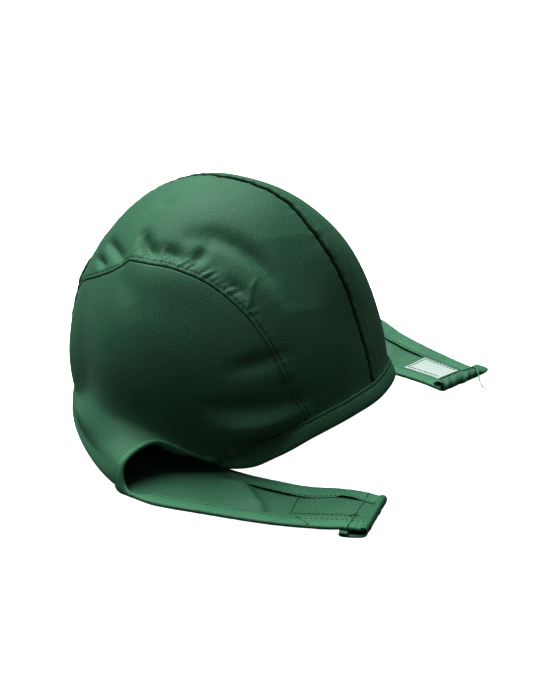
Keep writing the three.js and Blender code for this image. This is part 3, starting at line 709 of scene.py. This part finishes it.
def even_frames(edge, facing, inward, turns=()):
    """The edge and its frame at even spacing, with the frame evened out, and more so at turns."""
    run = run_length(edge, 0)
    even = np.linspace(0, run[-1], int(run[-1] / TAPE_SPACING) + 1)
    edge, facing, inward = (read_along(run, rows, even) for rows in (edge, facing, inward))
    near_turn = np.zeros(len(edge))
    for place in turns:
        near_turn += bell(distance_to(place, edge), TURN_REACH)

    def evened(rows):
        a_little, more = (
            np.stack([moving_mean(column, reach) for column in rows.T], -1)
            for reach in (EVENED, EVENED_AT_TURN)
        )
        return a_little + (more - a_little) * np.clip(near_turn, 0, 1)[:, None]

    facing, inward = unit(evened(facing)), evened(inward)
    ahead = unit(np.gradient(edge, axis=0))
    inward = unit(inward - ahead * np.sum(inward * ahead, -1, keepdims=True))
    across = unit(np.cross(ahead, inward))
    return edge, across * np.sign(np.sum(across * facing, -1, keepdims=True)), inward


hem_bearings = np.linspace(-HEM[-1][0], HEM[-1][0], 121)
hem_lifts = hem_lift(np.abs(hem_bearings))
hem_edge = on_crown(toward(hem_bearings, hem_lifts))
hem_inward = unit(on_crown(toward(hem_bearings, hem_lifts + 3)) - hem_edge)
hem_facing = unit(np.cross(np.gradient(hem_edge, axis=0), hem_inward))
hem_facing *= np.sign(np.sum(hem_facing * (hem_edge - HEART), -1, keepdims=True))
hem_corners = [hem_edge[0], hem_edge[-1]]
tight_turns = hem_corners + [
    np.array(STRAPS[hand][k][0]) for hand in ("right", "left") for k in (1, 2, 3)
]


def binding(name, edge, facing, inward, seed):
    """Tape folded over an edge: sections that run from one border round the fold to the other."""
    run = run_length(edge, 0)
    border = TAPE + WANDER * ripple(run, WANDER_WAVES, seed)
    drawn_in = sum(bell(distance_to(place, edge), DRAWN_REACH) for place in tight_turns)
    border -= DRAWN_IN * np.minimum(drawn_in, 1)
    # the border stops short of the floor where the tape hangs down from its edge
    to_floor = np.maximum(edge[:, 2] - 1.0, 0.3) / np.maximum(-inward[:, 2], 0.02)
    border = np.minimum(border, moving_mean(np.minimum(to_floor, TAPE), 3))
    gaping = np.zeros(len(edge))
    for place, reach, lift in LOOSE_BORDERS:
        gaping += lift * bell(distance_to(place, edge), reach, 4)
    plump = 1 + PLUMPNESS * ripple(run, PLUMP_WAVES, seed + 1)
    outside, inside, sewn = [], [], []
    for face in (1, -1):
        upper = gaping * (face * facing[:, 2] > 0)
        half_out, half_in = [], []
        for away, rise in TAPE_SECTION:
            place = border * (1 - away / TAPE)
            loose = upper * max(1 - away / GAPE_WIDTH, 0)
            half_out.append((place, face * (BED + rise * plump + loose)))
            half_in.append((np.maximum(place, 0.1), face * (BED + loose)))
        outside.append(half_out)
        inside.append(half_in)
        held = face * (BED + STITCH_RISE * plump + upper * (1 - TAPE_STITCH / GAPE_WIDTH))
        line = edge + inward * (border - TAPE_STITCH)[:, None] + facing * held[:, None]
        sewn.append((line, facing * face))
    fold_out, fold_in = ([(run * 0 + past, run * 0)] for past in (FOLD_OUT, FOLD_IN))
    ring = outside[0] + fold_out + outside[1][::-1] + inside[1] + fold_in + inside[0][::-1]
    places = np.stack([edge + inward * a[:, None] + facing * h[:, None] for a, h in ring], 1)
    places[..., 2] = np.maximum(places[..., 2], UNDERSIDE)
    rows, around = places.shape[:2]
    numbers = np.arange(rows * around).reshape(rows, around)
    faces = grid_faces(np.concatenate([numbers, numbers[:, :1]], 1)).tolist()
    for end in (0, rows - 1):
        for k in range(around // 2 - 1):
            cap = numbers[end, [k, k + 1, around - 2 - k, around - 1 - k]].tolist()
            faces.append(cap if end else cap[::-1])
    if np.sum(np.cross(inward, facing) * np.gradient(edge, axis=0)) <= 0:
        faces = [face[::-1] for face in faces]
    weave = weave_places(run[:, None], run_length(places[rows // 2], 0)[None])
    made = piece(name, places.reshape(-1, 3), faces, weave, bias_twill)
    return made, sewn, run[-1] / 1000


far_edge, near_edge = strap_edges["left"]["outer"], strap_edges["right"]["outer"]
whole_run = [
    np.concatenate([far[:0:-1], hem, near[1:]])
    for far, hem, near in zip(far_edge, (hem_edge, hem_facing, hem_inward), near_edge)
]
whole_run = even_frames(*whole_run, hem_corners)
first, last = (int(np.argmin(distance_to(corner, whole_run[0]))) for corner in hem_corners)
tape_runs = {
    "binding_left_outer": [rows[: first + 1] for rows in whole_run],
    "binding_front": [rows[first: last + 1] for rows in whole_run],
    "binding_right_outer": [rows[last:] for rows in whole_run],
}
for hand in ("right", "left"):
    neck = [rows[NECK_START:] for rows in strap_edges[hand]["inner"]]
    tape_runs[f"binding_{hand}_inner"] = even_frames(*neck)
tape_stitching = []
for seed, (node, run) in enumerate(tape_runs.items()):
    tape, sewn, length = binding(node.replace("binding", "tape"), *run, seed)
    tape_stitching += sewn
    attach(tape, "root")
    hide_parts(node)
    side = "left" if "left" in node else "right"


# Turned ends: the end of each strap is folded back on itself and sewn across. The near one is
# folded under and pressed flat, with its raw corner standing out beyond the tape. The far one is
# rolled up over the top, and the outer end of the roll is pressed flat into a tab.

NEAR_END = [  # section of the fold: mm ahead of the strap's end, height in mm over the floor
    (-1.6, 4.5), (-0.4, 4.9), (0.9, 4.7), (1.7, 3.4), (1.5, 1.7), (0.2, 0.7), (-3.0, 0.55),
    (-8.0, 0.6), (-11.0, 1.0), (-11.8, 1.8), (-10.4, 2.3), (-7.5, 2.1),
]
FAR_END = [
    (-5.0, 1.2), (-1.5, 0.8), (1.3, 0.9), (2.6, 2.2), (2.2, 4.0), (0.4, 5.1), (-2.2, 5.3),
    (-4.8, 4.6), (-5.9, 3.5), (-5.0, 2.6), (-2.2, 2.8), (-0.4, 3.1), (0.1, 3.6),
]
END_ROWS, END_COLUMNS, END_CLOTH = 60, 47, 0.8  # thickness in mm
WRINKLES, WRINKLE_TURN = [6.3, 9.1, 14.7], 14  # mm, and mm that they wind round with the fold
WRINKLE_SWELL, WRINKLE_PUSH = 0.05, 0.25  # share of the section, mm
SKEWED = (0.35, 0.75)  # shares of the section over which the fold is drawn out
TAB_SHARE, TAB_HEIGHT = 0.2, 3.4  # of the width, mm
TAB_SQUASH, TAB_SPREAD = 0.25, 0.25  # shares of the section's height left and length gained
END_UNDERSIDE = 0.42  # mm, lowest place of the fold's middle over the floor


def smooth_path(places, count):
    return along_stations(places, np.linspace(0, len(places) - 1, count))


def turned_end(name, hand, section, shares, skew, twist, crumple, flat_tab):
    """Cloth that follows the section all along the strap's end, drawn out where it folds."""
    end, before = strap_places[hand][-1], strap_places[hand][-8]
    outer, inner = end[0], end[-1]
    across = unit((inner - outer) * [1, 1, 0])
    ahead = unit(np.array([-across[1], across[0], 0.0]))
    ahead *= np.sign(np.dot(ahead, end.mean(0) - before.mean(0)))
    path = smooth_path([(a, h, 0.0) for a, h in section], END_ROWS)
    wide = np.linspace(*shares, END_COLUMNS)[None]
    span = np.linalg.norm((inner - outer)[:2])
    turn = np.linspace(0, 1, END_ROWS)[:, None]
    wrinkle = crumple * ripple(wide * span + twist * turn * WRINKLE_TURN, WRINKLES, 2.7)
    swell = 1 + WRINKLE_SWELL * wrinkle
    along = path[:, :1] * swell + WRINKLE_PUSH * wrinkle
    rise = path[:, 1:2] * swell
    pressed = flat_tab * (1 - smooth_step(0.0, TAB_SHARE, wide))
    along = along * (1 + TAB_SPREAD * pressed)
    rise = rise + (TAB_HEIGHT + TAB_SQUASH * (rise - TAB_HEIGHT) - rise) * pressed
    aside = wide * span - skew * smooth_step(*SKEWED, turn) * (1 - wide) ** 2
    grid = outer * [1, 1, 0] + across * aside[..., None] + ahead * along[..., None]
    grid[..., 2] = np.maximum(rise, END_UNDERSIDE)
    flat, faces = grid_sheet(grid)
    outside = face_normals(flat, faces).reshape(grid.shape)[20, 20]  # where the fold faces ahead
    if outside @ ahead < 0:
        faces = faces[:, ::-1]
    run = run_length(path, 0)
    weave = weave_places(wide * span, run[:, None])
    made = thick_cloth(name, flat, faces, weave, green_twill, END_CLOTH)
    return made, (span * (shares[1] - shares[0]) / 1000, run[-1] / 1000)


for name, hand, *shape in (
    ("turned_end_near", "right", NEAR_END, (-0.03, 1.01), 3.5, 0.5, 0.7, 0.0),
    ("turned_end_far", "left", FAR_END, (-0.07, 0.99), 1.0, 1.8, 1.5, 1.0),
):
    fold, flat_size = turned_end(name, hand, *shape)
    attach(fold, "root")
    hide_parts(f"end_fold_{hand}")


# Fastener: a patch of pale hook tape sewn on the inside face of the far strap, and one of green
# loop tape under the near strap. Both are woven tape with a sealed selvedge.

PATCHES = {  # node: strap, mm from its end, length, width, thickness in mm, face of the strap
    "hook_patch": ("left", 10.0, 26.5, 18.5, 1.0, 1),
    "loop_patch": ("right", 16.0, 32.0, 18.0, 0.9, -1),
}
PATCH_FINISH = {  # name, colours of the ground and the pile, and pitch of its rows in m
    "hook_patch": ("pale_hook_tape", (0.31, 0.37, 0.345), (0.42, 0.485, 0.455), 0.0011),
    "loop_patch": ("green_loop_tape", (0.030, 0.095, 0.058), (0.060, 0.170, 0.105), 0.0008),
}
PATCH_STEPS = 25  # points along and across
SELVEDGE, SELVEDGE_REACH = 0.25, 0.7  # mm, how far the edge of a patch is pressed down
LAID_START = 120  # row of the strap from which it lies forward
LAID_WIDTH_ROW = -20  # row where the width of the laid strap is measured
FUZZ = 1800.0  # to the metre


def fastener_tape(name, ground, pile, pitch):
    """Woven fastener tape: rows of small hooks or loops on a plain ground."""
    finish = Finish(name)
    weave, weft, warp = finish.woven()
    turn = 2 * math.pi / pitch
    rows = (weft * turn).sine() * (warp * (turn * 0.8)).sine()
    fuzz = finish.noise(weave, FUZZ, 2.0)
    share = rows * 0.25 + (fuzz - 0.5) * 1.2 + 0.5
    bump = {"Strength": 0.6, "Distance": 0.0003, "Height": rows * 0.5 + fuzz}
    return finish.covered({
        "Base Color": finish.blend(share, (*ground, 1), (*pile, 1)),
        "Roughness": 0.6 + fuzz * 0.2,
        "Normal": finish.node("ShaderNodeBump", {}, bump),
        "Sheen Weight": 0.2,
    })


def on_strap(hand, along, aside):
    """Places on the laid strap, mm back from its end and mm from its middle to the outer edge."""
    places = strap_places[hand][LAID_START:]
    middle = places[:, places.shape[1] // 2]
    back_from_end = run_length(middle[::-1], 0)[::-1]
    row = np.interp(along, back_from_end[::-1], np.arange(len(middle))[::-1])
    width = np.linalg.norm(places[LAID_WIDTH_ROW, -1] - places[LAID_WIDTH_ROW, 0])
    column = (0.5 - aside / width) * (places.shape[1] - 1)
    r = np.clip(np.floor(row).astype(int), 0, len(middle) - 2)
    c = np.clip(np.floor(column).astype(int), 0, places.shape[1] - 2)
    tr, tc = (row - r)[..., None], (column - c)[..., None]
    first = places[r, c] * (1 - tc) + places[r, c + 1] * tc
    second = places[r + 1, c] * (1 - tc) + places[r + 1, c + 1] * tc
    return first * (1 - tr) + second * tr


for node, (hand, start, length, width, thickness, face) in PATCHES.items():
    ends = np.linspace(-1, 1, PATCH_STEPS)
    even = np.sign(ends) * np.abs(ends) ** 0.7
    along, aside = np.meshgrid(start + length * (even + 1) / 2, width / 2 * even, indexing="ij")
    bed = on_strap(hand, along, aside)
    from_end = 1 - np.abs(even)
    rim = np.minimum(length / 2 * from_end[:, None], width / 2 * from_end[None])
    lift = CLOTH / 2 + thickness / 2 - SELVEDGE * bell(rim, SELVEDGE_REACH)
    bed[..., 2] += face * lift
    flat, faces = grid_sheet(bed)
    if face_normals(flat, faces)[:, 2].mean() < 0:
        faces = faces[:, ::-1]
    name, finish = node.replace("_patch", "_tape"), fastener_tape(*PATCH_FINISH[node])
    patch = thick_cloth(name, flat, faces, weave_places(aside, along), finish, thickness)
    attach(patch, "root")
    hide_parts(node)
    size = (width / 1000, length / 1000)


# Stitching: dark green polyester thread, one stitch modelled and set along each sewn line: the lap
# of the arch seams, the bindings, the lines across the turned ends, and round the patches.

STITCH_PITCH, PATCH_PITCH = 2.7, 2.4  # mm
STITCH_LENGTH = 2.1  # mm
STITCH_HEIGHT = 0.05  # mm, middle of a stitch over the cloth
STITCH_LOOK = 0.6  # mm to each side, for the way a stitch runs
THREAD = 0.55  # mm across

bpy.ops.object.select_all(action="DESELECT")
bpy.ops.mesh.primitive_uv_sphere_add(segments=6, ring_count=5, radius=0.5)
one_stitch = bpy.context.object
stitch_points = np.array([vertex.co for vertex in one_stitch.data.vertices])[:, [2, 0, 1]]
stitch_faces = [list(face.vertices) for face in one_stitch.data.polygons]
stitch_points *= [STITCH_LENGTH, THREAD, THREAD]
bpy.data.objects.remove(one_stitch)

thread_finish = Finish("green_thread")
strands = thread_finish.noise(thread_finish.node("ShaderNodeTexCoord", {}, {}, 3), 2600.0, 1.0)
green_thread = thread_finish.covered({
    "Base Color": thread_finish.blend(strands, (0.005, 0.018, 0.011, 1), (0.016, 0.050, 0.031, 1)),
    "Roughness": 0.6,
})


def sew(name, lines, pitch=STITCH_PITCH):
    """Stitches along lines, each given by places in mm and the way its face looks."""
    points, faces = [], []
    for line, facing in lines:
        run = run_length(line, 0)
        middles = np.arange(pitch / 2, run[-1], pitch)
        places, over = (read_along(run, rows, middles) for rows in (line, facing))
        ahead = read_along(run, line, middles + STITCH_LOOK)
        ahead = unit(ahead - read_along(run, line, middles - STITCH_LOOK))
        over = unit(over - ahead * np.sum(over * ahead, -1, keepdims=True))
        aside = np.cross(over, ahead)
        for place, x, y, z in zip(places, ahead, aside, over):
            base = len(points) * len(stitch_points)
            points.append(place + stitch_points @ np.array([x, y, z]) + z * STITCH_HEIGHT)
            faces += [[base + k for k in face] for face in stitch_faces]
    points = np.concatenate(points)
    made = piece(name, points, faces, np.zeros((len(points), 2)), green_thread)
    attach(made, "root")


def sewn_on_strap(hand, corners, rise=0.0):
    """A sewn line over the laid strap, through mm back from its end and mm from its middle."""
    corners = np.array(corners, float)
    run = run_length(corners, 0)
    even = np.linspace(0, run[-1], int(run[-1]) + 2)
    line = on_strap(hand, *read_along(run, corners, even).T)
    line[:, 2] += CLOTH / 2 + rise
    return line, np.tile([0.0, 0.0, 1.0], (len(line), 1))


for hand, (line, facing) in lap_stitching.items():
    sew(f"stitches_arch_{hand}", [(line + facing * CLOTH / 2, facing)])
sew("stitches_bindings", tape_stitching)
sew("stitches_near_strap", [
    sewn_on_strap("right", [(8, -11.5), (43.4, -8.4), (42, 7.4), (6, 8)]),
    sewn_on_strap("right", [(7.5, -12.5), (8.5, 0), (8, 12.5)]),
    sewn_on_strap("right", [(7.7, -21.0), (7.5, -12.5)], 1.1),
    sewn_on_strap("right", [(8, 12.5), (8.4, 21.0)], 1.1),
    sewn_on_strap("right", [(11.5, 8.6), (8.5, 5.5), (5.5, 7.5)], 0.15),
    sewn_on_strap("right", [(37.5, 12.5), (29.5, 20.5)], 0.95),
], PATCH_PITCH)
sew("stitches_hook_tape", [
    sewn_on_strap("left", [(11.8, 7.4), (34.8, 7.4), (34.8, -7.4), (11.8, -7.4)], 1.0),
], PATCH_PITCH)


# Loose thread: the untrimmed tail of the sewing across the far strap's rolled end, of polyester in
# a paler green. It lies along the roll, turns round at its outer end and runs down to the floor.

LOOSE_THREAD = [  # mm
    (122, -102.5, 6.4), (126.6, -104.6, 6.6), (130.4, -106.4, 6.3), (130.6, -109.2, 5.0),
    (126.6, -111.6, 3.8), (121.6, -113.9, 2.4), (116.2, -117.6, 0.8), (113.6, -120.3, 0.5),
]
bpy.ops.object.select_all(action="DESELECT")
bpy.ops.curve.primitive_nurbs_path_add()
loose_thread = bpy.context.object
loose_thread.name = "loose_thread"
strand = loose_thread.data.splines[0]
strand.type = "POLY"
thread_line = (smooth_path(LOOSE_THREAD, 40) - MIDDLE) / 1000
strand.points.add(len(thread_line) - len(strand.points))
for point, place in zip(strand.points, thread_line):
    point.co = (*place, 1.0)
loose_thread.data.bevel_depth = 0.00035  # m, half of the thread
loose_thread.data.bevel_resolution = 1
pale_thread = Finish("pale_green_thread")
pale_thread = pale_thread.covered({"Base Color": (0.09, 0.235, 0.15, 1), "Roughness": 0.6})
loose_thread.data.materials.append(pale_thread)
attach(loose_thread, "root")


# Studio: a plain pale floor inside a white backdrop, a large soft light overhead and slightly
# behind the cap, a little light from all round, and the camera at the picture's angle.

VIEW_BEARING, VIEW_LIFT = 64, 20  # degrees towards the wearer's right, and above level
VIEW_REACH = 850.0  # mm from the camera to the cap
AIM = np.array([0.0, 0.0, 60.0])  # mm
SLIDE_RIGHT, SLIDE_DOWN = 23.26, 7.27  # mm, to frame the cap as in the picture
FLOOR_SIZE = 8.0  # m
back = toward(VIEW_BEARING, VIEW_LIFT)
right = unit(np.cross([0.0, 0.0, 1.0], back))
up = np.cross(back, right)
eye = AIM + back * VIEW_REACH + right * SLIDE_RIGHT - up * SLIDE_DOWN
camera = bpy.data.objects.new("camera", bpy.data.cameras.new("camera"))
bpy.context.collection.objects.link(camera)
camera.data.lens = 78.0
camera.data.sensor_width = 36.0
stand = np.eye(4)
stand[:3] = np.stack([right, up, back, (eye - MIDDLE) / 1000], -1)
camera.matrix_world = Matrix(stand.tolist())
bpy.context.scene.camera = camera

bpy.ops.mesh.primitive_plane_add(size=FLOOR_SIZE)
floor = bpy.context.object
floor.name = "floor"
floor.data.materials.append(Finish("pale_floor").covered({
    "Base Color": (0.5, 0.5, 0.5, 1),
    "Roughness": 0.9,
    "Specular IOR Level": 0.1,
    "Emission Color": (1.0, 1.0, 1.0, 1.0),
    "Emission Strength": 0.56,
}))

bpy.ops.mesh.primitive_uv_sphere_add(segments=48, ring_count=24, radius=FLOOR_SIZE * 0.49)
backdrop = bpy.context.object
backdrop.name = "backdrop"
backdrop.data.materials.append(Finish("white_backdrop").covered(
    {"Color": (1.0, 1.0, 1.0, 1.0), "Strength": 1.0}, "ShaderNodeEmission"
))
for stage in (floor, backdrop):
    stage.visible_diffuse = False
    stage.visible_glossy = False
backdrop.visible_shadow = False
overhead = bpy.data.objects.new("overhead", bpy.data.lights.new("overhead", "SUN"))
overhead.data.energy = 3.65
overhead.data.angle = math.radians(62)
overhead.rotation_euler = Vector((0.11, 0.39, 0.91)).to_track_quat("Z", "Y").to_euler()
bpy.context.collection.objects.link(overhead)
world = bpy.data.worlds.new("studio")
world.use_nodes = True
all_round = world.node_tree.nodes["Background"]
all_round.inputs["Color"].default_value = (1.0, 1.0, 1.0, 1.0)
all_round.inputs["Strength"].default_value = 0.1
bpy.context.scene.world = world
look = bpy.context.scene.view_settings
look.view_transform = "Standard"
look.exposure = 0.9
look.gamma = 0.67
